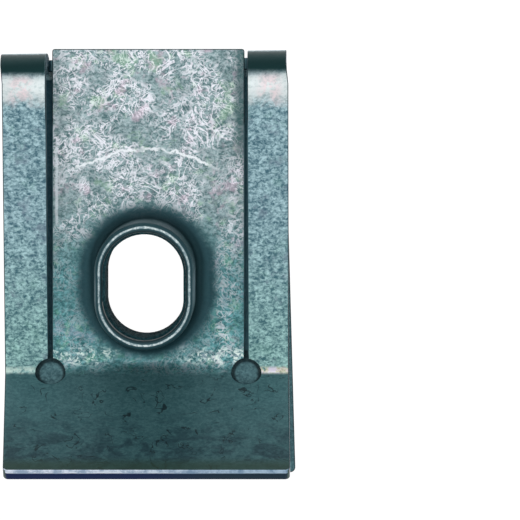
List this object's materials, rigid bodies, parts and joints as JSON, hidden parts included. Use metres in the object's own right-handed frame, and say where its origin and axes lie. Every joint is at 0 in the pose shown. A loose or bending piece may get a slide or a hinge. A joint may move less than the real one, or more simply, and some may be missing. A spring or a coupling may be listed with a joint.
{
  "type": "u clip speed nut",
  "caption": "U-shaped clip nut folded from spring sheet, with an extruded obround thread barrel on a lanced tongue, sprung arms, a flared lead-in and a back leg.",
  "frame": {"origin": "middle of the bounding box in X and Y, on the plane the back leg's outer face lies on", "axes": "+Z from the back leg towards the tip of the barrel, +Y from the open mouth towards the top fold, X across the width"},
  "size_m": [0.0177, 0.0258, 0.0095],
  "materials": {
    "zinc_spring_steel": "zinc plated, fine scratches"
  },
  "bodies": {
    "root": {"u_nut_clip": "zinc_spring_steel"}
  },
  "joints": []
}
